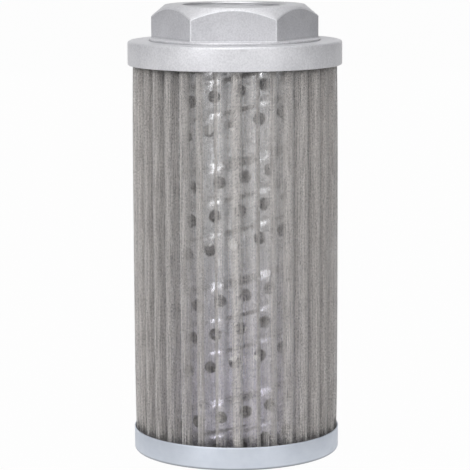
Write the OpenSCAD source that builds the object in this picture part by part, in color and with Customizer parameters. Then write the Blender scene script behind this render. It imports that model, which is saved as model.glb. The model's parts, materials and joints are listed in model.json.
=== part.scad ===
// Hydraulic suction strainer: a pleated wire cloth element round a perforated
// spiral tube, bedded in resin between a hexagon-headed cast cap with a pipe
// thread and a pressed closing cap. It stands on the closing cap, +Z up, with
// one flat of the hexagon and the lap seam of the cloth facing -Y.

/* [Overall] */
// Height from the foot of the closing cap to the underside of the cast flange
body_h = 124.1; // [70:0.1:240]
// Radial clearance of the pleat tips inside both caps
cap_gap = 0.1; // [0.05:0.05:0.4]

/* [Cast cap] */
// Height of the round flange
flange_h = 7.6; // [6.5:0.1:12]
// Wall of the flange outside the groove that takes the cloth
skirt_wall = 1.45; // [1.2:0.05:4]
// Rounding of the flange's upper edge
flange_edge = 0.85; // [0.3:0.05:1.1]
// Rounding of the flange's lower edge
flange_foot = 0.35; // [0.2:0.05:1.1]
// Reach of the low round step past the hexagon's corners
step_reach = 0.45; // [0.2:0.05:2]
// Height of the low round step
step_h = 0.8; // [0.4:0.1:2]
// Hexagon, across flats
hex_af = 46; // [42:0.5:50]
// Height of the hexagon
hex_h = 10.5; // [8:0.1:20]
// Setback of the flat ring on top of the hexagon from its flats
hex_set = 0.9; // [0.2:0.1:2]
// Slope of the hexagon's chamfer, from the horizontal
hex_slope = 40; // [25:1:45]
// Turn of the hexagon about the axis, from a flat that faces -Y
hex_turn = -1; // [-30:0.5:30]
// Minor diameter of the pipe thread
thread_minor_d = 30.29; // [24:0.01:32]
// Radial depth of the pipe thread, which the lead-in at both ends opens up
thread_depth = 1.48; // [0.8:0.01:2]
// Depth of the resin groove in the flange's underside
groove_h = 4.5; // [3.5:0.1:5.5]

/* [Pleated cloth] */
// Diameter over the pleat tips
mesh_od = 64.9; // [62:0.1:72]
// Thickness of the wire cloth
mesh_t = 0.3; // [0.2:0.05:0.4]
// Depth of the pleats from tip to root, which also places the tube
pleat_depth = 7.35; // [5.5:0.05:9]
// Number of pleats
pleat_count = 35; // [28:1:38]
// Turn of the pleats about the axis, from a lap seam that faces -Y
pleat_turn = 1; // [-5:0.5:5]
// Outside width of a pleat at its tip
ridge_w = 3.2; // [2.4:0.1:3.6]
// Outside width of a fold at its root
root_w = 2.2; // [1.4:0.1:2.4]

/* [Core tube] */
// Thickness of the tube's strip
core_wall = 0.5; // [0.4:0.05:1]
// Clearance between the tube and the pleat roots
core_gap = 0.1; // [0.05:0.05:0.4]
// Advance of the spiral in one turn
strip_pitch = 37.15; // [33:0.05:44]
// Rows of holes across the strip
hole_rows = 3; // [1:1:3]
// Distance between the rows, across the strip
row_pitch = 9.95; // [8:0.05:11]
// Holes of one row in one turn
holes_per_turn = 20; // [12:1:24]
// Diameter of a hole
hole_d = 4; // [2.5:0.1:4.5]
// Height of the middle row above the foot, where it faces -Y
row_start = 80.6; // [60:0.1:100]
// Turn of the holes about the axis, from a middle row that faces -Y
row_turn = 3; // [0:0.5:18]
// Bare band between the holes and the resin at each end
hole_margin = 0.8; // [0.4:0.1:4]

/* [Closing cap] */
// Height of the upturned rim
rim_h = 7.35; // [6:0.05:14]
// Sheet thickness of the closing cap
cap_sheet = 0.4; // [0.35:0.05:1]
// Inside radius of the pressed edge
cap_bend = 0.45; // [0.3:0.05:0.6]
// Outward slope of the rim
cap_draft = 0.25; // [0:0.25:4]

/* [Resin] */
// Resin between the ends of the element and each cap
bed_h = 1; // [0.6:0.1:1.6]
// Depth of the element's ends in the resin
sink_h = 2.4; // [1.5:0.1:2.4]

/* [Hidden] */
$fn = 96;
// Flat pieces in each rounded stretch of an outline
arc_steps = 6;
// Overrun of a cut past the surface that it opens
cut_over = 1;

// Overlap of the forms that make one casting
cast_lap = 0.5;

// Radii of the element, from the pleat tips inwards and outwards
mesh_r = mesh_od / 2;
root_r = mesh_r - pleat_depth;
core_r = root_r - core_gap;
seat_r = mesh_r + cap_gap;
flange_r = seat_r + skirt_wall;
collar_r = core_r - core_wall - core_gap;

// Levels, from the foot upwards
bed_z = cap_sheet + bed_h;
resin_z = bed_z + sink_h;
flange_z = body_h;
groove_z = flange_z + groove_h;
end_z = groove_z - bed_h;
step_z = flange_z + flange_h;
hex_z = step_z + step_h;
top_z = hex_z + hex_h;
element_h = end_z - bed_z;

// Corner and top radii of the hexagon
hex_corner_r = hex_af / 2 / cos(30);
hex_face_r = hex_af / 2 - hex_set;

// Centre of the closing cap's pressed edge, with the rim clear of the pleats at their foot
bend_z = cap_sheet + cap_bend;
bend_r = seat_r - cap_bend * cos(cap_draft) - (bed_z - bend_z + cap_bend * sin(cap_draft)) * tan(cap_draft);

// Pleats: bend radii of the cloth's middle surface and the centres of the bends
pleat_step = 360 / pleat_count;
tip_bend = (ridge_w - mesh_t) / 2;
root_bend = (root_w - mesh_t) / 2;
root_centre_r = root_r + mesh_t / 2 + root_bend;

// Spiral strip, laid out flat: its slope and the spacing of its holes
strip_slope = atan(strip_pitch / (2 * PI * core_r));
hole_pitch = 2 * PI * core_r / cos(strip_slope) / holes_per_turn;

// Point at a distance and an angle from a centre
function polar(centre, r, angle) = centre + r * [cos(angle), sin(angle)];

// Points of an arc from one angle to another
function arc(centre, r, from, to) =
    [for (k = [0 : arc_steps]) polar(centre, r, from + (to - from) * k / arc_steps)];

// Angle of a pleat; pleat 0 carries the lap seam
function pleat_angle(i) = -90 + pleat_turn + i * pleat_step;

// The lapped pleat holds two thicknesses at its tip, so its bend sits one deeper
function lap(i) = i % pleat_count == 0 ? mesh_t : 0;
function tip_centre_r(i) = mesh_r - mesh_t / 2 - tip_bend - lap(i);

// Centre of the root bend in the frame of pleat i, whose axis is +X
function root_in_pleat(i) = polar([-tip_centre_r(i), 0], root_centre_r, pleat_step / 2);

// Half angle of the tip bend, up to where the flank leaves it as a tangent
function tip_half(i) =
    let (to_root = root_in_pleat(i))
    atan2(to_root.y, to_root.x) - acos((tip_bend + root_bend) / norm(to_root));

// One side of the folded cloth; side is 1 for its outer face and -1 for its inner face
function pleat_points(i, side) =
    let (
        a = pleat_angle(i),
        half = tip_half(i),
        tip = polar([0, 0], tip_centre_r(i), a),
        root = polar([0, 0], root_centre_r, a + pleat_step / 2),
        tip_r = tip_bend + side * mesh_t / 2,
        root_bend_r = root_bend - side * mesh_t / 2,
        lap_t = side > 0 ? lap(i) : 0,
        step_in = lap_t > 0 ? [polar(tip, tip_r, a - half)] : [],
        step_out = lap_t > 0 ? [polar(tip, tip_r, a + half)] : []
    )
    concat(
        step_in,
        arc(tip, tip_r + lap_t, a - half, a + half),
        step_out,
        arc(root, root_bend_r, a + half + 180, a + pleat_step - tip_half(i + 1) + 180)
    );
function pleat_loop(side) = [for (i = [0 : pleat_count - 1]) each pleat_points(i, side)];

// Half section of the closing cap's inner or outer form, from the radius of its pressed edge
function dish_section(edge) =
    let (
        centre = [bend_r, bend_z],
        wall_foot = polar(centre, edge, -cap_draft),
        rim_r = wall_foot.x + (rim_h - wall_foot.y) * tan(cap_draft)
    )
    concat(
        [[0, bend_z - edge]],
        arc(centre, edge, -90, -cap_draft),
        [[rim_r, rim_h], [0, rim_h]]
    );

// Half section of the cast cap's flange, with its resin groove
module flange_section() {
    difference() {
        polygon(concat(
            [[0, flange_z]],
            arc([flange_r - flange_foot, flange_z + flange_foot], flange_foot, -90, 0),
            arc([flange_r - flange_edge, step_z - flange_edge], flange_edge, 0, 90),
            [[0, step_z]]
        ));
        translate([collar_r, flange_z - cut_over])
            square([seat_r - collar_r, groove_h + cut_over]);
    }
}

// Hexagon with its corners turned off by a cone
module hexagon(h) {
    intersection() {
        rotate([0, 0, hex_turn])
            cylinder(r = hex_corner_r, h = h, $fn = 6);
        cylinder(r1 = hex_face_r + h / tan(hex_slope), r2 = hex_face_r, h = h);
    }
}

// Threaded bore at its minor diameter, opened at both ends to the major diameter
module thread_bore() {
    bore_r = thread_minor_d / 2;
    mouth_h = thread_depth + cut_over;
    translate([0, 0, flange_z - cut_over])
        cylinder(r = bore_r, h = top_z - flange_z + 2 * cut_over);
    translate([0, 0, top_z - thread_depth])
        cylinder(r1 = bore_r, r2 = bore_r + mouth_h, h = mouth_h);
    translate([0, 0, flange_z - cut_over])
        cylinder(r1 = bore_r + mouth_h, r2 = bore_r, h = mouth_h);
}

// Folded cloth between two levels
module cloth(h) {
    outer = pleat_loop(1);
    inner = pleat_loop(-1);
    linear_extrude(height = h)
        polygon(
            concat(outer, inner),
            [[for (k = [0 : len(outer) - 1]) k], [for (k = [0 : len(inner) - 1]) len(outer) + k]]
        );
}

// Plain tube of the core's strip
module tube(h) {
    difference() {
        cylinder(r = core_r, h = h);
        translate([0, 0, -cut_over])
            cylinder(r = core_r - core_wall, h = h + 2 * cut_over);
    }
}

// Element as the resin sees it: the cloth and the tube, without holes
module element_blank() {
    translate([0, 0, bed_z]) {
        cloth(element_h);
        tube(element_h);
    }
}

// Place of a hole on the tube, from its row and its number along the strip
function hole_row_shift(row) = (row - (hole_rows - 1) / 2) * row_pitch;
function hole_along(row, k) = (k + (row % 2) / 2) * hole_pitch;
function hole_angle(row, k) =
    row_turn
    + (hole_along(row, k) * cos(strip_slope) - hole_row_shift(row) * sin(strip_slope)) / core_r * 180 / PI;
function hole_z(row, k) =
    row_start + hole_along(row, k) * sin(strip_slope) + hole_row_shift(row) * cos(strip_slope);

module hole(row, k) {
    translate([0, 0, hole_z(row, k)])
        rotate([0, 0, hole_angle(row, k) - 90])
            rotate([0, 90, 0])
                cylinder(d = hole_d, h = core_r + cut_over);
}

module hex_cap() {
    color("Gainsboro")
        difference() {
            union() {
                rotate_extrude() flange_section();
                translate([0, 0, step_z - cast_lap])
                    cylinder(r = hex_corner_r + step_reach, h = step_h + cast_lap);
                translate([0, 0, hex_z - cast_lap])
                    hexagon(hex_h + cast_lap);
            }
            thread_bore();
        }
}

module top_potting() {
    color("DimGray")
        difference() {
            translate([0, 0, end_z - sink_h])
                difference() {
                    cylinder(r = seat_r, h = sink_h + bed_h);
                    translate([0, 0, -cut_over])
                        cylinder(r = collar_r, h = sink_h + bed_h + 2 * cut_over);
                }
            element_blank();
        }
}

module pleated_mesh() {
    color("DarkGray")
        translate([0, 0, bed_z])
            cloth(element_h);
}

module core_tube() {
    low_z = resin_z + hole_d / 2 + hole_margin;
    high_z = end_z - sink_h - hole_d / 2 - hole_margin;
    reach = ceil(top_z / strip_pitch + 1) * holes_per_turn;
    color("Silver")
        difference() {
            translate([0, 0, bed_z])
                tube(element_h);
            for (row = [0 : hole_rows - 1])
                for (k = [-reach : reach])
                    if (hole_z(row, k) > low_z && hole_z(row, k) < high_z)
                        hole(row, k);
        }
}

module bottom_potting() {
    color("DimGray")
        difference() {
            rotate_extrude()
                intersection() {
                    polygon(dish_section(cap_bend));
                    square([flange_r, resin_z]);
                }
            element_blank();
        }
}

module bottom_cap() {
    color("LightSteelBlue")
        rotate_extrude()
            difference() {
                polygon(dish_section(cap_bend + cap_sheet));
                polygon(dish_section(cap_bend));
            }
}

hex_cap();
top_potting();
pleated_mesh();
core_tube();
bottom_potting();
bottom_cap();
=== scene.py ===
"""Looks of the suction strainer: cast cap with its pipe thread, pleated cloth, spiral tube, closing cap."""
import json
import math
import random

import bpy
from mathutils import Matrix, Vector


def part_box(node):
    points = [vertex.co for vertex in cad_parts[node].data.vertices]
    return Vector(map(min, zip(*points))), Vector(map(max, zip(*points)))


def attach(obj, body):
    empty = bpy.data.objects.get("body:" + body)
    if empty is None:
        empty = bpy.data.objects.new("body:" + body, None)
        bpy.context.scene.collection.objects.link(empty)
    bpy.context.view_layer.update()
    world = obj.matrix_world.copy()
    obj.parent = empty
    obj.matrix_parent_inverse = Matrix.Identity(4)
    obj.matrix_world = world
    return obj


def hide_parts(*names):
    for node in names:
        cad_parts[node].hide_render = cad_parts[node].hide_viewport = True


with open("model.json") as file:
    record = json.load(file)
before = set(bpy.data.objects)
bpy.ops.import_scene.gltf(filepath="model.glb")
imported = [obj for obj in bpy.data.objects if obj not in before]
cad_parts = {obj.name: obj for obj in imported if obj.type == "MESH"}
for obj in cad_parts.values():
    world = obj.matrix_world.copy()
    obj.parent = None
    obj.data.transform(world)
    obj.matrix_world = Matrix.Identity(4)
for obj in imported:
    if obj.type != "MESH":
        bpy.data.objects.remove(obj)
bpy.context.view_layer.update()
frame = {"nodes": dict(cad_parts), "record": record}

MM = 0.001
# Sides of a round piece, the overrun of a cut or a joined form,
# the slack of a test of place, and the gap within which points are merged
ROUND = 168
OVER = 0.5 * MM
NEAR = 0.05 * MM
MERGE_GAP = 0.001 * MM

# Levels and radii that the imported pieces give
cap_low, cap_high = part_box("hex_cap")
cloth_low, cloth_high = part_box("pleated_mesh")
tube_low, tube_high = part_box("core_tube")
dish_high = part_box("bottom_cap")[1]
port = next(m for m in frame["record"]["mounts"] if m["name"] == "threaded_port")
flange_r, flange_z, top_z = cap_high.x, cap_low.z, cap_high.z
cloth_r, cloth_foot, cloth_top = -cloth_low.y, cloth_low.z, cloth_high.z
tube_r = tube_high.x
rim_r, rim_z = dish_high.x, dish_high.z
thread_r = port["dims"]["r_mm"] * MM

# Cast cap
FLANGE_H = 7.6 * MM
FLANGE_EDGE = 0.85 * MM
FLANGE_FOOT = 0.35 * MM
SKIRT_WALL = 1.45 * MM
GROOVE_H = 4.5 * MM
COLLAR_GAP = 0.6 * MM
STEP_H = 0.8 * MM
STEP_REACH = 0.45 * MM
HEX_FLAT = 23 * MM
HEX_SET = 0.9 * MM
HEX_SLOPE = math.radians(40)
HEX_TURN = math.radians(-1)
CAST_EDGE = 0.3 * MM
SHARP = math.radians(26)

# Pipe thread: its crest as a share of the pitch, and the turns cut past each end
THREAD_PITCH = 2.309 * MM
THREAD_DEPTH = 1.48 * MM
CREST_SHARE = 0.18
SPARE_TURNS = 2
THREAD_STEPS = 72

# Places of the cast cap's further finishes, and how nearly a face looks the way of a flat or up
FLATS, CHAMFER, BORE = 1, 2, 3
FLAT_MATCH = 0.999
UPWARD = 0.5

# Pleated cloth
PLEATS = 35
CLOTH_T = 0.3 * MM
RIDGE_W = 3.2 * MM
ROOT_W = 2.2 * MM
ROOT_GAP = 0.1 * MM
BEND_STEPS = 10
CLOTH_LEVELS = 36
PLEAT_TURN = math.radians(-90 + 1)
PLEAT_BOW = 0.42 * MM
BOW_POWER = 4
LAP_GAP = 0.15 * MM
SHELL_T = 0.05 * MM
# Reach of the painted shade at both ends of the cloth
END_SHADE_REACH = 1.6 * MM
WIRE_PITCH = 0.45 * MM
WIRE_D = 0.088 * MM

# Small differences between the pleats: turn and sway in radians, waves of the sway, and depth
PLEAT_SEED = 7
PLEAT_SHIFT = 0.009
PLEAT_SWAY = 0.0015
SWAY_WAVES = 0.8
PLEAT_UNEVEN = 0.1 * MM

# Spiral tube
TUBE_T = 0.5 * MM
STRIP_PITCH = 37.15 * MM
ROW_PITCH = 9.95 * MM
HOLES_PER_TURN = 20
HOLE_R = 2 * MM
CELL_W = 6.0 * MM
ROW_START = 80.6 * MM
ROW_TURN = math.radians(3)
RIB_DEPTH = 0.24 * MM
RIB_REACH = 1.6 * MM
SEAM_AT = 19.8 * MM
SEAM_LAP = 1.5 * MM
JOGGLE_AT = 14.6 * MM
JOGGLE_W = 3.2 * MM
JOGGLE_DROP = 0.55 * MM

# Mesh of the flat strip: sides of a hole, the ring of faces round it, the help in rounding a corner
# to its quarter of the cell, and the cuts along a cell and across the edge, the ribs and the lap
HOLE_SIDES = 16
CELL_RING = 1.32
CORNER_HELP = 1.04
CELL_CUTS = 4
EDGE_CUTS, RIB_CUTS, LAP_CUTS = 3, 12, 30

# Closing cap
SHEET_T = 0.4 * MM
DISH_BEND = 0.85 * MM
DISH_DRAFT = math.radians(0.25)

step_z = flange_z + FLANGE_H
hex_z = step_z + STEP_H
hex_corner_r = HEX_FLAT / math.cos(math.radians(30))
hex_face_r = HEX_FLAT - HEX_SET
groove_r = flange_r - SKIRT_WALL
collar_r = tube_r - COLLAR_GAP
cloth_h = cloth_top - cloth_foot
tip_bend = (RIDGE_W - CLOTH_T) / 2
root_bend = (ROOT_W - CLOTH_T) / 2
tip_axis_r = cloth_r - SHELL_T / 2 - tip_bend
root_axis_r = tube_r + ROOT_GAP + CLOTH_T / 2 + root_bend


# Modelling steps

def activate(piece):
    """Leave the piece as the only selected and active object."""
    bpy.ops.object.select_all(action="DESELECT")
    piece.select_set(True)
    bpy.context.view_layer.objects.active = piece


def settle(name):
    """Name the new primitive and put its place into its mesh."""
    piece = bpy.context.object
    piece.name = name
    bpy.ops.object.transform_apply(location=True, rotation=True, scale=True)
    return piece


def modify(piece, kind, **settings):
    """Add one modifier and apply it."""
    activate(piece)
    modifier = piece.modifiers.new(kind.lower(), kind)
    for key, value in settings.items():
        setattr(modifier, key, value)
    bpy.ops.object.modifier_apply(modifier=modifier.name)


def combine(piece, tool, operation):
    """Join, cut or intersect a piece with a tool, and drop the tool."""
    modify(piece, "BOOLEAN", operation=operation, object=tool, solver="EXACT")
    bpy.data.objects.remove(tool)


def drum(name, radius, low, high, top=None, sides=ROUND, turn=0.0):
    """Upright cylinder, or a cone where a top radius is given."""
    bpy.ops.object.select_all(action="DESELECT")
    bpy.ops.mesh.primitive_cone_add(
        vertices=sides, radius1=radius, radius2=radius if top is None else top,
        depth=high - low, location=(0, 0, (low + high) / 2), rotation=(0, 0, turn))
    return settle(name)


def edit_all(piece):
    """Go into edit mode with all of the piece selected."""
    activate(piece)
    bpy.ops.object.mode_set(mode="EDIT")
    bpy.ops.mesh.select_all(action="SELECT")


def edit_none(piece, kind):
    """Set the kind of selection, vertices, edges or faces, and leave nothing of the piece selected."""
    activate(piece)
    bpy.ops.object.mode_set(mode="EDIT")
    bpy.ops.mesh.select_mode(type=kind)
    bpy.ops.mesh.select_all(action="DESELECT")


def pick_edges(piece, test):
    """Go into edit mode with only the edges selected whose two ends pass the test."""
    edit_none(piece, "EDGE")
    bpy.ops.object.mode_set(mode="OBJECT")
    points = piece.data.vertices
    for edge in piece.data.edges:
        edge.select = test(*(points[v].co for v in edge.vertices))
    bpy.ops.object.mode_set(mode="EDIT")


def outline(name, points):
    """Chain of edges: one vertex, extruded from point to point."""
    points = [Vector(p) for p in points]
    bpy.ops.object.select_all(action="DESELECT")
    bpy.ops.mesh.primitive_plane_add(size=MM, location=points[0])
    piece = settle(name)
    bpy.ops.object.mode_set(mode="EDIT")
    bpy.ops.mesh.select_mode(type="VERT")
    bpy.ops.mesh.select_all(action="SELECT")
    bpy.ops.mesh.merge(type="CENTER")
    for here, there in zip(points, points[1:]):
        bpy.ops.mesh.extrude_vertices_move(TRANSFORM_OT_translate={"value": there - here})
    bpy.ops.object.mode_set(mode="OBJECT")
    return piece


def trim(piece, point, outward, fill=False):
    """Cut a piece along a plane and drop what lies past it."""
    edit_all(piece)
    bpy.ops.mesh.bisect(
        plane_co=point, plane_no=outward, use_fill=fill, threshold=MERGE_GAP, clear_outer=True)
    bpy.ops.object.mode_set(mode="OBJECT")


def inside_out(mesh):
    """True where the faces of a closed mesh point inwards."""
    mesh.calc_loop_triangles()
    corners = ([mesh.vertices[v].co for v in t.vertices] for t in mesh.loop_triangles)
    return sum(a.dot(b.cross(c)) for a, b, c in corners) < 0


def turn_faces(piece):
    """Turn every face of the piece round."""
    edit_all(piece)
    bpy.ops.mesh.flip_normals()
    bpy.ops.object.mode_set(mode="OBJECT")


def tidy_mesh(piece, gap=MERGE_GAP):
    """Merge doubles and turn the faces outwards."""
    edit_all(piece)
    bpy.ops.mesh.remove_doubles(threshold=gap)
    bpy.ops.mesh.normals_make_consistent(inside=False)
    bpy.ops.object.mode_set(mode="OBJECT")
    if inside_out(piece.data):
        turn_faces(piece)


def split_hollow_faces(piece):
    """Split the faces that are not convex, so that none spans an opening."""
    edit_all(piece)
    bpy.ops.mesh.vert_connect_concave()
    bpy.ops.object.mode_set(mode="OBJECT")


def turned(name, section):
    """Piece turned on the Z axis from its half section."""
    piece = outline(name, section)
    edit_all(piece)
    bpy.ops.mesh.spin(steps=ROUND, angle=math.tau, center=(0, 0, 0), axis=(0, 0, 1))
    bpy.ops.object.mode_set(mode="OBJECT")
    tidy_mesh(piece)
    return piece


def smooth(piece, degrees=32):
    """Shade smooth, with edges sharper than the angle kept."""
    activate(piece)
    bpy.ops.object.shade_smooth_by_angle(angle=math.radians(degrees))


def arc(centre, radius, start, end, steps):
    """Points of an arc in the X-Z plane, angles in degrees."""
    angles = [math.radians(start + (end - start) * k / steps) for k in range(steps + 1)]
    return [(centre[0] + radius * math.cos(a), 0, centre[1] + radius * math.sin(a)) for a in angles]


def enter(piece, slot, node, *materials):
    """Hang the piece on the part's body, in place of its plain node, with its finishes."""
    piece.data.materials.clear()
    for material in materials:
        piece.data.materials.append(material)
    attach(piece, "root")
    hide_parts(node)


# Pieces

def thread_tap():
    """Solid of the pipe thread's groove and bore, as a tap would leave it."""
    turns = math.ceil((top_z - flange_z) / THREAD_PITCH) + 2 * SPARE_TURNS
    low = flange_z - SPARE_TURNS * THREAD_PITCH
    root = thread_r + THREAD_DEPTH
    section = [(thread_r, 0), (thread_r, CREST_SHARE),
               (root, 0.5), (root, 0.5 + CREST_SHARE), (thread_r, 1)]
    tap = outline("thread_tap", [(radius, 0, low + share * THREAD_PITCH) for radius, share in section])
    modify(tap, "SCREW", angle=math.tau, screw_offset=THREAD_PITCH, iterations=turns,
           steps=THREAD_STEPS, render_steps=THREAD_STEPS,
           use_merge_vertices=True, merge_threshold=MERGE_GAP)
    trim(tap, (0, 0, flange_z - OVER), (0, 0, -1), fill=True)
    trim(tap, (0, 0, top_z + OVER), (0, 0, 1), fill=True)
    tidy_mesh(tap)
    return tap


def cast_cap():
    """Flange, step and hexagon as one casting: turned, cut to its flats, then tapped and grooved."""
    head_r = hex_corner_r + STEP_REACH
    cone_h = (head_r - hex_face_r) * math.tan(HEX_SLOPE)
    section = [(0, 0, flange_z)]
    section += arc((flange_r - FLANGE_FOOT, flange_z + FLANGE_FOOT), FLANGE_FOOT, -90, 0, 5)
    section += arc((flange_r - FLANGE_EDGE, step_z - FLANGE_EDGE), FLANGE_EDGE, 0, 90, 5)
    section += [(head_r, 0, step_z), (head_r, 0, top_z - cone_h), (hex_face_r, 0, top_z), (0, 0, top_z)]
    cap = turned("cast_cap", section)

    waste = drum("waste", 2 * flange_r, hex_z, top_z + OVER)
    hexagon = drum("hexagon", hex_corner_r, hex_z - OVER, top_z + 2 * OVER,
                   sides=6, turn=math.radians(30) + HEX_TURN)
    combine(waste, hexagon, "DIFFERENCE")
    combine(cap, waste, "DIFFERENCE")
    combine(cap, thread_tap(), "DIFFERENCE")
    narrow, wide = thread_r - OVER, thread_r + THREAD_DEPTH + OVER
    mouth_h = THREAD_DEPTH + OVER
    combine(cap, drum("mouth", narrow, top_z - mouth_h, top_z + OVER, top=wide), "DIFFERENCE")
    combine(cap, drum("foot_mouth", wide, flange_z - OVER, flange_z + mouth_h, top=narrow), "DIFFERENCE")
    groove = drum("groove", groove_r, flange_z - OVER, flange_z + GROOVE_H)
    collar = drum("collar", collar_r, flange_z - 2 * OVER, flange_z + GROOVE_H + OVER)
    combine(groove, collar, "DIFFERENCE")
    combine(cap, groove, "DIFFERENCE")
    tidy_mesh(cap)
    split_hollow_faces(cap)
    soften_castings(cap)
    split_hollow_faces(cap)
    smooth(cap)
    return cap


def soften_castings(cap):
    """Round the outer edges of the hexagon and the step a little."""
    def outer(a, b):
        """True for an edge above the flange that is neither in the mouth nor at the hexagon's foot."""
        inside = min(a.xy.length, b.xy.length) < hex_face_r - OVER
        foot = max(a.z, b.z) < hex_z + NEAR and max(a.xy.length, b.xy.length) < hex_corner_r + NEAR
        return not inside and not foot and min(a.z, b.z) > step_z + NEAR

    edit_none(cap, "EDGE")
    bpy.ops.mesh.edges_select_sharp(sharpness=SHARP)
    bpy.ops.object.mode_set(mode="OBJECT")
    points = cap.data.vertices
    for edge in cap.data.edges:
        edge.select = edge.select and outer(*(points[v].co for v in edge.vertices))
    bpy.ops.object.mode_set(mode="EDIT")
    bpy.ops.mesh.bevel(offset=CAST_EDGE, segments=3, affect="EDGES")
    bpy.ops.object.mode_set(mode="OBJECT")


def part_faces(cap):
    """Give the hexagon's flats, its turned chamfer and the threaded bore their own finishes."""
    facing = [Matrix.Rotation(HEX_TURN + math.radians(60 * k), 3, "Z") @ Vector((0, -1, 0))
              for k in range(6)]
    for face in cap.data.polygons:
        if face.center.xy.length < thread_r + THREAD_DEPTH:
            face.material_index = BORE
        elif face.center.z > hex_z and max(face.normal.dot(way) for way in facing) > FLAT_MATCH:
            face.material_index = FLATS
        elif face.center.z > hex_z + OVER and face.normal.z > UPWARD:
            face.material_index = CHAMFER


def fold_course():
    """One pleat's course: for each point, its bend (tip or root) and its share of that bend."""
    return [(bend, k / BEND_STEPS) for bend in ("tip", "root") for k in range(BEND_STEPS + 1)]


def pleat_wander():
    """Small differences between the pleats, as hand-set folds have."""
    rng = random.Random(PLEAT_SEED)
    return [dict(shift=rng.uniform(-PLEAT_SHIFT, PLEAT_SHIFT),
                 sway=rng.uniform(-PLEAT_SWAY, PLEAT_SWAY),
                 phase=rng.uniform(0, math.tau),
                 depth=rng.uniform(0, PLEAT_UNEVEN)) for _ in range(PLEATS)]


def cloth_point(wander, pleat, bend, share, level):
    """Place of a point of the cloth's middle surface, from its pleat, bend and height."""
    step = math.tau / PLEATS

    def tip_at(i):
        """Radius and angle of the axis that a pleat's tip bends round."""
        own = wander[i % PLEATS]
        swing = own["sway"] * math.sin(own["phase"] + math.tau * SWAY_WAVES * level)
        angle = PLEAT_TURN + i * step + own["shift"] + swing * math.sin(math.pi * level)
        bow = PLEAT_BOW * (1 - (2 * level - 1) ** BOW_POWER)
        return tip_axis_r - own["depth"] + bow, angle

    def half_at(i, side):
        """Angle from a tip's middle to where the flank on that side begins."""
        radius, angle = tip_at(i)
        root = PLEAT_TURN + (i + 0.5 * side) * step
        x = root_axis_r * math.cos(root - angle) - radius
        y = abs(root_axis_r * math.sin(root - angle))
        return math.atan2(y, x) - math.acos((tip_bend + root_bend) / math.hypot(x, y))

    if bend == "tip":
        radius, angle = tip_at(pleat)
        turn = angle - half_at(pleat, -1) + share * (half_at(pleat, -1) + half_at(pleat, 1))
        bend_r = tip_bend
    else:
        radius, angle = root_axis_r, PLEAT_TURN + (pleat + 0.5) * step
        start = tip_at(pleat)[1] + half_at(pleat, 1) + math.pi
        end = tip_at(pleat + 1)[1] - half_at(pleat + 1, -1) + math.pi
        turn = start + share * (end - start)
        bend_r = root_bend
    return (radius * math.cos(angle) + bend_r * math.cos(turn),
            radius * math.sin(angle) + bend_r * math.sin(turn))


def lay_lap(cloth):
    """Lay the sheet's second end over the front pleat's tip, its wires between those underneath."""
    outward = Vector((math.cos(PLEAT_TURN), math.sin(PLEAT_TURN)))
    edit_none(cloth, "FACE")
    bpy.ops.object.mode_set(mode="OBJECT")
    for face in cloth.data.polygons:
        offset = face.center.xy - tip_axis_r * outward
        face.select = offset.length < 2 * tip_bend and offset.dot(outward) > 0
    bpy.ops.object.mode_set(mode="EDIT")
    bpy.ops.mesh.duplicate_move()
    bpy.ops.transform.shrink_fatten(value=LAP_GAP)
    bpy.ops.object.mode_set(mode="OBJECT")
    half_wire = WIRE_PITCH / 2 / cloth_h
    unfolded = cloth.data.uv_layers["unfolded"].data
    for face in cloth.data.polygons:
        if face.select:
            for c in face.loop_indices:
                unfolded[c].uv += Vector((half_wire, half_wire))


def pleated_cloth():
    """Folded wire cloth: a tube with one side for each point of the folds, set onto its course."""
    course = fold_course()
    sides = PLEATS * len(course)
    bpy.ops.object.select_all(action="DESELECT")
    bpy.ops.mesh.primitive_cylinder_add(
        vertices=sides, radius=cloth_r, depth=cloth_h, end_fill_type="NOTHING",
        location=(0, 0, (cloth_foot + cloth_top) / 2))
    cloth = settle("pleated_cloth")
    pick_edges(cloth, lambda a, b: abs(a.z - b.z) > cloth_h / 2)
    bpy.ops.mesh.subdivide(number_cuts=CLOTH_LEVELS - 1)
    bpy.ops.object.mode_set(mode="OBJECT")

    wander = pleat_wander()
    place = {}
    for v in cloth.data.vertices:
        number = round(math.atan2(v.co.y, v.co.x) / math.tau * sides) % sides
        level = (v.co.z - cloth_foot) / cloth_h
        pleat, at = divmod(number, len(course))
        v.co.x, v.co.y = cloth_point(wander, pleat, *course[at], level)
        place[v.index] = (number, level)

    # Unfolded place of each point, measured at mid height, so that the wires follow the folds
    girth = [0.0]
    ring = [Vector(cloth_point(wander, n // len(course), *course[n % len(course)], 0.5))
            for n in range(sides)]
    for a, b in zip(ring, ring[1:] + ring[:1]):
        girth.append(girth[-1] + (b - a).length)
    unfolded = cloth.data.uv_layers.new(name="unfolded")
    for face in cloth.data.polygons:
        numbers = [place[cloth.data.loops[c].vertex_index][0] for c in face.loop_indices]
        wraps = max(numbers) - min(numbers) > sides / 2
        for c in face.loop_indices:
            number, level = place[cloth.data.loops[c].vertex_index]
            along = girth[sides] if wraps and number == 0 else girth[number]
            unfolded.data[c].uv = (along / cloth_h, level)
    tidy_mesh(cloth)
    lay_lap(cloth)
    modify(cloth, "SOLIDIFY", thickness=SHELL_T, offset=0, use_even_offset=True)
    smooth(cloth, 50)
    return cloth


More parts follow.
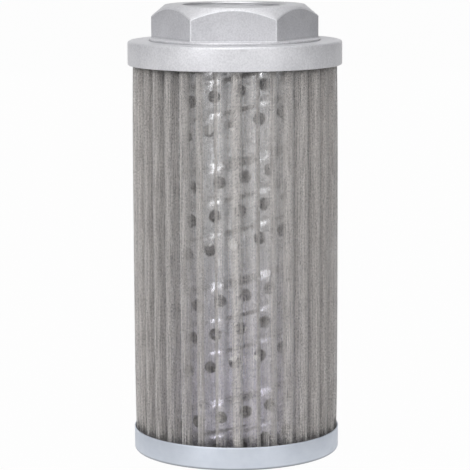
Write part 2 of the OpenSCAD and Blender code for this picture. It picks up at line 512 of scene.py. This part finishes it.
def strip_cell(strip, along, across, pitch):
    """One hole with the sheet round it, on the flat strip."""
    bpy.ops.mesh.select_all(action="DESELECT")
    bpy.ops.mesh.primitive_circle_add(vertices=HOLE_SIDES, radius=HOLE_R, location=(along, across, 0))
    bpy.ops.mesh.extrude_edges_move()
    bpy.ops.transform.resize(value=(CELL_RING, CELL_RING, 1), center_override=(along, across, 0))
    bpy.ops.mesh.extrude_edges_move()
    bpy.ops.object.mode_set(mode="OBJECT")
    for v in strip.data.vertices:
        if v.select:
            angle = math.atan2(v.co.y - across, v.co.x - along)
            reach = max(abs(math.cos(angle)), abs(math.sin(angle)))
            side = Vector((math.cos(angle), math.sin(angle))) / reach
            quarter = [round(c * 2 * CORNER_HELP) / 2 for c in side]
            v.co.x = along + quarter[0] * pitch / 2
            v.co.y = across + quarter[1] * CELL_W / 2
    bpy.ops.object.mode_set(mode="EDIT")


def strip_drop(across):
    """How far the strip lies under the tube's outer face: grooves between the rows, and the joggled lap."""
    drop = 0.0
    for middle in (-ROW_PITCH / 2, ROW_PITCH / 2):
        offset = min(abs(across - middle) / RIB_REACH, 1)
        drop += RIB_DEPTH * (0.5 + 0.5 * math.cos(math.pi * offset))
    tuck = min(max((across - JOGGLE_AT) / JOGGLE_W + 0.5, 0), 1)
    return drop + JOGGLE_DROP * (0.5 - 0.5 * math.cos(math.pi * tuck))


def spiral_tube():
    """Perforated strip, modelled flat, then given its ribs and tucked edge and wound into the tube."""
    slope = math.atan(STRIP_PITCH / (math.tau * tube_r))
    pitch = math.tau * tube_r / math.cos(slope) / HOLES_PER_TURN
    foot_edge = SEAM_AT - STRIP_PITCH * math.cos(slope)
    reach = math.ceil(top_z / STRIP_PITCH + 1) * HOLES_PER_TURN
    bpy.ops.object.select_all(action="DESELECT")
    bpy.ops.mesh.primitive_plane_add(size=MM)
    tube = settle("spiral_tube")
    bpy.ops.object.mode_set(mode="EDIT")
    bpy.ops.mesh.select_mode(type="VERT")
    bpy.ops.mesh.delete(type="VERT")
    for row in (-1, 0, 1):
        strip_cell(tube, pitch / 2 * (row % 2) - reach * pitch, row * ROW_PITCH, pitch)
    bands = [(foot_edge, -ROW_PITCH - CELL_W / 2, EDGE_CUTS),
             (-ROW_PITCH + CELL_W / 2, -CELL_W / 2, RIB_CUTS),
             (CELL_W / 2, ROW_PITCH - CELL_W / 2, RIB_CUTS),
             (ROW_PITCH + CELL_W / 2, SEAM_AT + SEAM_LAP, LAP_CUTS)]
    for low, high, cuts in bands:
        middle = (-reach * pitch, (low + high) / 2, 0)
        bpy.ops.mesh.primitive_grid_add(
            x_subdivisions=CELL_CUTS, y_subdivisions=cuts, size=1, location=middle)
        bpy.ops.transform.resize(value=(pitch, high - low, 1), center_override=middle)
    bpy.ops.object.mode_set(mode="OBJECT")
    modify(tube, "ARRAY", count=2 * reach, use_relative_offset=False, use_constant_offset=True,
           constant_offset_displace=(pitch, 0, 0))
    tidy_mesh(tube, 10 * MERGE_GAP)
    up = Vector((math.sin(slope), math.cos(slope), 0))
    trim(tube, up * (tube_low.z - ROW_START), -up)
    trim(tube, up * (tube_high.z - ROW_START), up)
    if tube.data.polygons[0].normal.z < 0:
        turn_faces(tube)
    modify(tube, "SOLIDIFY", thickness=TUBE_T, offset=-1)
    for v in tube.data.vertices:
        along, across, height = v.co
        angle = ROW_TURN - math.pi / 2 + (along * math.cos(slope) - across * math.sin(slope)) / tube_r
        level = ROW_START + up.dot(v.co)
        sized = min(max((level - flange_z) / OVER, 0), 1)
        radius = tube_r + height - strip_drop(across) * (1 - sized)
        v.co = (radius * math.cos(angle), radius * math.sin(angle), level)
    smooth(tube, 40)
    return tube


def closing_cap():
    """Pressed dish with an upturned, slightly opened rim, turned from its half section."""
    slope = math.tan(DISH_DRAFT)
    degrees = math.degrees(DISH_DRAFT)
    wall_h = rim_z - DISH_BEND + DISH_BEND * math.sin(DISH_DRAFT)
    bend_x = rim_r - wall_h * slope - DISH_BEND * math.cos(DISH_DRAFT)
    lip = SHEET_T / 2
    section = [(0, 0, 0)] + arc((bend_x, DISH_BEND), DISH_BEND, -90, -degrees, 6)
    section += arc((rim_r - lip, rim_z - lip), lip, 0, 180, 6)
    section += arc((bend_x, DISH_BEND), DISH_BEND - SHEET_T, -degrees, -90, 4)
    section += [(0, 0, SHEET_T)]
    cap = turned("closing_cap", section)
    smooth(cap, 40)
    return cap


# Finishes

# Sizes of the grain, and depths of the relief, in each finish
CAST_CLOUD = 9 * MM
CAST_GRAIN = 0.55 * MM
CAST_RELIEF = 0.08 * MM
# Reach of the painted shade in the casting's creases
PAINTED_CREASE_REACH = 1.2 * MM
THREAD_MARKS = 1.2 * MM
THREAD_RELIEF = 0.05 * MM
DRAWING_LINES = 6 * MM
ZINC_CLOUD = 5 * MM
ZINC_RELIEF = 0.05 * MM
SPANGLE = 3.5 * MM
ROLLING_MARKS = 1.6 * MM
STRIP_RELIEF = 0.06 * MM
WIRE_STREAK = 0.45 * MM
WIRE_SPECK = 0.4 * MM
WIRE_RELIEF = 0.7 * MM
# Raggedness of the edge of the painted shade at the cloth's ends
END_SHADE_RAGGED = 0.6 * MM
RESIN_SKIN = 2.5 * MM
RESIN_RELIEF = 0.2 * MM

# Levels between which the strip turns violet, downwards
VIOLET_FROM = 75 * MM
VIOLET_TO = 25 * MM

# Softness of a wire's edge, as a share of its wave
WIRE_EDGE = 0.03

# Ranges that most of a noise falls in, for broad, wire-like and mottled changes
NOISE = (0.3, 0.7)
WIRE_NOISE = (0.41, 0.59)
MOTTLE_NOISE = (0.38, 0.62)

# Share of plain white in what is seen of the floor; the rest keeps the part's shadow
FLOOR_WHITE = 0.98

# Colour sockets of a Mix node
MIX_A, MIX_B, MIX_RESULT = 6, 7, 2


class Finish:
    """Node material with one Principled shader, and short ways to add and link nodes."""

    def __init__(self, name, **values):
        """Start the material, with constants on the shader's sockets."""
        self.material = bpy.data.materials.new(name)
        self.material.use_nodes = True
        self.tree = self.material.node_tree
        self.shader = self.tree.nodes["Principled BSDF"]
        for key, value in values.items():
            self.shader.inputs[key.replace("_", " ")].default_value = value

    def put(self, value, socket):
        """Link a socket to another, or set it to a constant."""
        if isinstance(value, bpy.types.NodeSocket):
            self.tree.links.new(value, socket)
        else:
            socket.default_value = value

    def add(self, kind, settings=None, **values):
        """Add a node, with its settings and its inputs."""
        node = self.tree.nodes.new("ShaderNode" + kind)
        for key, value in (settings or {}).items():
            setattr(node, key, value)
        for key, value in values.items():
            self.put(value, node.inputs[key.replace("_", " ")])
        return node

    def link(self, source, socket):
        """Link a value to one of the shader's sockets."""
        self.tree.links.new(source, self.shader.inputs[socket])

    def grain(self, size, detail=3.0, rough=0.6, stretch=(1, 1, 1), space=None):
        """Noise with features of a given size, on Object coordinates unless another space is given."""
        place = space or self.add("TexCoord").outputs["Object"]
        place = self.add("Mapping", Vector=place, Scale=stretch).outputs["Vector"]
        noise = self.add("TexNoise", Vector=place, Scale=1 / size, Detail=detail, Roughness=rough)
        return noise.outputs["Fac"]

    def span(self, value, low, high, start=0.0, end=1.0):
        """Map a value from one range to another."""
        node = self.add("MapRange", Value=value, From_Min=start, From_Max=end, To_Min=low, To_Max=high)
        return node.outputs["Result"]

    def tint(self, value, low, high):
        """Colour between two, by a value."""
        mix = self.add("Mix", {"data_type": "RGBA"}, Factor=value)
        mix.inputs[MIX_A].default_value = (*low, 1)
        mix.inputs[MIX_B].default_value = (*high, 1)
        return mix.outputs[MIX_RESULT]

    def darken(self, colour, value):
        """Colour times a value."""
        mix = self.add("Mix", {"data_type": "RGBA", "blend_type": "MULTIPLY"}, Factor=1)
        self.tree.links.new(colour, mix.inputs[MIX_A])
        self.tree.links.new(value, mix.inputs[MIX_B])
        return mix.outputs[MIX_RESULT]

    def painted_crease_shade(self, reach, low):
        """Painted shade: 1 on open faces, down to a low value where faces meet inwards, from ambient
        occlusion.
        """
        shelter = self.add("AmbientOcclusion", {"only_local": True}, Distance=reach).outputs["AO"]
        return self.span(shelter, low, 1, start=0.4, end=0.9)

    def bump(self, height, strength, depth):
        """Relief on the surface, from a height."""
        bump = self.add("Bump", Height=height, Strength=strength, Distance=depth)
        self.link(bump.outputs["Normal"], "Normal")

    def maths(self, kind, a, b=0.0):
        """Arithmetic on two values or sockets."""
        node = self.add("Math", {"operation": kind})
        for socket, value in zip(node.inputs, (a, b)):
            self.put(value, socket)
        return node.outputs[0]


def cast_aluminium(name, metallic, gloss, dark, light):
    """Blasted casting: pale, half matt, with a fine grain, faint cloudiness and painted shade in its
    creases.
    """
    finish = Finish(name, Metallic=metallic, Specular_IOR_Level=gloss)
    cloud = finish.grain(CAST_CLOUD, 4, 0.6)
    grain = finish.grain(CAST_GRAIN, 2, 0.6)
    speck = finish.maths("ADD", finish.span(grain, -0.5, 0.5, *NOISE),
                         finish.span(cloud, 0.2, 0.8, *NOISE))
    metal = finish.tint(speck, dark, light)
    # Base colour darkened where faces meet inwards: painted shade in the creases
    finish.link(finish.darken(metal, finish.painted_crease_shade(PAINTED_CREASE_REACH, 0.5)), "Base Color")
    finish.link(finish.span(grain, 0.38, 0.54, *NOISE), "Roughness")
    finish.bump(grain, 0.6, CAST_RELIEF)
    return finish.material


def cut_thread():
    """Tapped bore: bright cut metal with fine marks along the turns."""
    finish = Finish("cut_thread", Metallic=0.4)
    marks = finish.grain(THREAD_MARKS, 4, 0.6, (1, 1, 6))
    finish.link(finish.tint(marks, (0.52, 0.52, 0.54), (0.72, 0.72, 0.74)), "Base Color")
    finish.link(finish.span(marks, 0.28, 0.45, *NOISE), "Roughness")
    finish.bump(marks, 0.2, THREAD_RELIEF)
    return finish.material


def zinc_plate():
    """Bright zinc on drawn sheet: cool, satin, with drawing lines, a painted shadow along the foot and a
    painted highlight along the lip.
    """
    finish = Finish("zinc_plate", Metallic=0.75)
    lines = finish.grain(DRAWING_LINES, 4, 0.6, (1, 1, 26))
    cloud = finish.grain(ZINC_CLOUD, 3, 0.6)
    plate = finish.tint(finish.span(cloud, 0, 1, *NOISE), (0.65, 0.695, 0.775), (0.71, 0.755, 0.83))
    level = finish.add("SeparateXYZ", Vector=finish.add("TexCoord").outputs["Object"]).outputs["Z"]
    # Painted shadow along the foot bend, darker towards the floor
    foot = finish.span(level, 0.4, 1, 0.35 * DISH_BEND, 1.1 * DISH_BEND)
    # Painted highlight along the rim's lip
    lip = finish.span(level, 0, 0.12, rim_z - 1.5 * SHEET_T, rim_z - 0.5 * SHEET_T)
    finish.link(finish.darken(plate, finish.maths("ADD", foot, lip)), "Base Color")
    finish.link(finish.span(lines, 0.46, 0.58, *NOISE), "Roughness")
    finish.bump(lines, 0.12, ZINC_RELIEF)
    return finish.material


def galvanised_strip():
    """Galvanised strip: semi-bright, with flat spangles and rolling marks, a little violet at the foot."""
    finish = Finish("galvanised_strip", Metallic=0.8)
    place = finish.add("TexCoord").outputs["Object"]
    spangle = finish.add("TexVoronoi", Vector=place, Scale=1 / SPANGLE).outputs["Color"]
    shade = finish.add("SeparateColor", Color=spangle).outputs["Red"]
    marks = finish.grain(ROLLING_MARKS, 4, 0.65)
    level = finish.add("SeparateXYZ", Vector=place).outputs["Z"]
    violet = finish.tint(finish.span(level, 0, 1, VIOLET_FROM, VIOLET_TO), (1, 1, 1), (0.91, 0.88, 1.0))
    metal = finish.tint(shade, (0.61, 0.62, 0.645), (0.75, 0.75, 0.77))
    finish.link(finish.darken(metal, violet), "Base Color")
    finish.link(finish.span(marks, 0.16, 0.34, *NOISE), "Roughness")
    finish.bump(marks, 0.3, STRIP_RELIEF)
    return finish.material


def wire_cloth():
    """Plain-woven stainless wire: wires across and along the unfolded cloth, open between them."""
    finish = Finish("wire_cloth", Metallic=0.05, Sheen_Weight=1.0, Sheen_Roughness=0.4)
    place = finish.add("UVMap", {"uv_map": "unfolded"}).outputs["UV"]
    parts = finish.add("SeparateXYZ", Vector=place)
    turns = math.pi * cloth_h / WIRE_PITCH
    wires = []
    for axis in ("X", "Y"):
        wave = finish.maths("SINE", finish.maths("MULTIPLY", parts.outputs[axis], turns))
        wires.append(finish.maths("ABSOLUTE", wave))
    crown = finish.maths("MAXIMUM", *wires)
    streak = finish.grain(WIRE_STREAK / cloth_h, 1, 0.5, (1, 0.04, 1), place)
    speck = finish.grain(WIRE_SPECK / cloth_h, 1, 0.5, (1, 0.6, 1), place)

    # Wires, here and there a little wider or narrower
    bunch = finish.maths("ADD", finish.span(streak, -0.025, 0.025, *WIRE_NOISE),
                         finish.span(speck, -0.03, 0.03, *WIRE_NOISE))
    edge = math.cos(math.pi / 2 * WIRE_D / WIRE_PITCH)
    wire = finish.span(finish.maths("ADD", crown, bunch), 0, 1, edge - WIRE_EDGE, edge + WIRE_EDGE)
    finish.link(wire, "Alpha")

    # Mottled metal, with painted shade at both ends of the cloth: under the flange and along the closing
    # cap's rim
    mottle = finish.maths("ADD", finish.span(streak, 0, 0.5, *MOTTLE_NOISE),
                          finish.span(speck, 0, 0.5, *MOTTLE_NOISE))
    shade = finish.tint(mottle, (0.60, 0.565, 0.55), (0.98, 0.94, 0.91))
    ragged = END_SHADE_RAGGED / cloth_h
    uneven = finish.span(streak, -ragged, ragged, start=0.35, end=0.65)
    level = finish.maths("ADD", parts.outputs["Y"], uneven)
    foot, top = (rim_z - cloth_foot) / cloth_h, (flange_z - cloth_foot) / cloth_h
    end_shade_reach = END_SHADE_REACH / cloth_h
    # Painted shade under the flange and along the rim, with a ragged edge
    painted_end_shade = finish.maths("MULTIPLY", finish.span(level, 0.3, 1, foot, foot + end_shade_reach),
                          finish.span(level, 0.45, 1, top, top - end_shade_reach))
    finish.link(finish.darken(shade, painted_end_shade), "Base Color")
    finish.link(finish.span(streak, 0.42, 0.58, *NOISE), "Roughness")
    finish.bump(crown, 1.0, WIRE_RELIEF)
    return finish.material


def set_resin():
    """Dark set resin, dull, with a slightly uneven skin."""
    finish = Finish("set_resin", Metallic=0.0)
    skin = finish.grain(RESIN_SKIN, 4, 0.6)
    finish.link(finish.tint(skin, (0.05, 0.05, 0.055), (0.12, 0.12, 0.125)), "Base Color")
    finish.link(finish.span(skin, 0.45, 0.7), "Roughness")
    finish.bump(skin, 0.4, RESIN_RELIEF)
    return finish.material


def studio_white():
    """Pale floor that the camera and reflections see as white, with the part's shadow kept faint on it."""
    finish = Finish("studio_white", Roughness=0.9, Base_Color=(0.3, 0.3, 0.3, 1))
    path = finish.add("LightPath")
    seen = finish.maths("MAXIMUM", path.outputs["Is Camera Ray"], path.outputs["Is Glossy Ray"])
    seen = finish.maths("MAXIMUM", seen, path.outputs["Is Transmission Ray"])
    white = finish.add("Emission", Color=(1, 1, 1, 1), Strength=1.0)
    mix = finish.add("MixShader", Fac=finish.maths("MULTIPLY", seen, FLOOR_WHITE))
    links = finish.tree.links
    links.new(finish.shader.outputs["BSDF"], mix.inputs[1])
    links.new(white.outputs["Emission"], mix.inputs[2])
    links.new(mix.outputs["Shader"], finish.tree.nodes["Material Output"].inputs["Surface"])
    return finish.material


# Studio

CAMERA_SIDE = -0.2 * MM
CAMERA_BACK = 713.9 * MM
CAMERA_HEIGHT = 178.2 * MM
CAMERA_PITCH = math.radians(8.68)
CAMERA_ROLL = 0.0043
IMAGE_PX = 470
FOCAL_PX = 2251
SENSOR = 36.0
FLOOR_SIZE = 16
BACKDROP_H = 4
# Strength of the even light from all round, and how many layers of cloth a ray may pass
SURROUND = 0.06
CLOTH_LAYERS = 48


def camera():
    """Camera in front of the part and a little above it, looking slightly down."""
    data = bpy.data.cameras.new("camera")
    data.sensor_width = SENSOR
    data.lens = FOCAL_PX / IMAGE_PX * SENSOR
    eye = bpy.data.objects.new("camera", data)
    eye.location = (CAMERA_SIDE, -CAMERA_BACK, CAMERA_HEIGHT)
    turn = Matrix.Rotation(math.pi / 2 - CAMERA_PITCH, 4, "X") @ Matrix.Rotation(-CAMERA_ROLL, 4, "Z")
    eye.rotation_euler = turn.to_euler()
    bpy.context.scene.collection.objects.link(eye)
    bpy.context.scene.camera = eye


def lamp(name, azimuth, elevation, distance, width, height, watts, mirrored=True):
    """Soft panel that faces the middle of the part; azimuth 0 is the camera's side, right is positive."""
    data = bpy.data.lights.new(name, "AREA")
    data.shape = "RECTANGLE"
    data.size, data.size_y, data.energy = width, height, watts
    panel = bpy.data.objects.new(name, data)
    a, e = math.radians(azimuth), math.radians(elevation)
    away = Vector((math.sin(a) * math.cos(e), -math.cos(a) * math.cos(e), math.sin(e)))
    panel.location = away * distance + Vector((0, 0, top_z / 2))
    panel.rotation_euler = (-away).to_track_quat("-Z", "Y").to_euler()
    panel.visible_glossy = mirrored
    bpy.context.scene.collection.objects.link(panel)


def studio():
    """Soft panels above, in front of and behind the part, a dim even surround, and the floor."""
    scene = bpy.context.scene
    scene.view_settings.view_transform = "Standard"
    scene.cycles.transparent_max_bounces = CLOTH_LAYERS
    lamp("top", 0, 82, 1.1, 0.8, 0.8, 5.8)
    lamp("key_front", -19, 46, 1.1, 1.0, 0.5, 3.8)
    lamp("fill_front", -9, 14, 1.6, 0.5, 0.5, 8.3, mirrored=False)
    lamp("panel_left", -35, 14, 1.0, 0.22, 0.5, 1.9)
    lamp("back_left", -155, 8, 1.5, 0.8, 0.8, 5.5, mirrored=False)
    lamp("back_right", 155, 8, 1.5, 0.8, 0.8, 5.5, mirrored=False)
    lamp("panel_right", 36, 14, 1.0, 0.18, 0.5, 1.35)
    scene.world = bpy.data.worlds.new("studio")
    scene.world.use_nodes = True
    surround = scene.world.node_tree.nodes["Background"]
    surround.inputs["Color"].default_value = (1, 1, 1, 1)
    surround.inputs["Strength"].default_value = SURROUND
    bpy.ops.object.select_all(action="DESELECT")
    bpy.ops.mesh.primitive_plane_add(size=FLOOR_SIZE)
    floor = settle("floor")
    pick_edges(floor, lambda a, b: min(a.y, b.y) > 0)
    bpy.ops.mesh.extrude_edges_move(TRANSFORM_OT_translate={"value": (0, 0, BACKDROP_H)})
    bpy.ops.object.mode_set(mode="OBJECT")
    floor.data.materials.append(studio_white())


camera()
head = cast_cap()
enter(head, "cast_aluminium", "hex_cap",
      cast_aluminium("cast_aluminium", 0.33, 0.5, (0.62, 0.62, 0.65), (0.78, 0.78, 0.81)),
      cast_aluminium("cast_flats", 0.0, 0.2, (0.425, 0.425, 0.45), (0.545, 0.545, 0.57)),
      cast_aluminium("turned_chamfer", 0.2, 0.4, (0.565, 0.565, 0.59), (0.685, 0.685, 0.71)),
      cut_thread())
part_faces(head)
enter(pleated_cloth(), "wire_cloth", "pleated_mesh", wire_cloth())
enter(spiral_tube(), "galvanised_strip", "core_tube", galvanised_strip())
enter(closing_cap(), "zinc_plate", "bottom_cap", zinc_plate())
resin = set_resin()
for name in ("top_potting", "bottom_potting"):
    node = frame["nodes"][name]
    node.data.materials.clear()
    node.data.materials.append(resin)
studio()
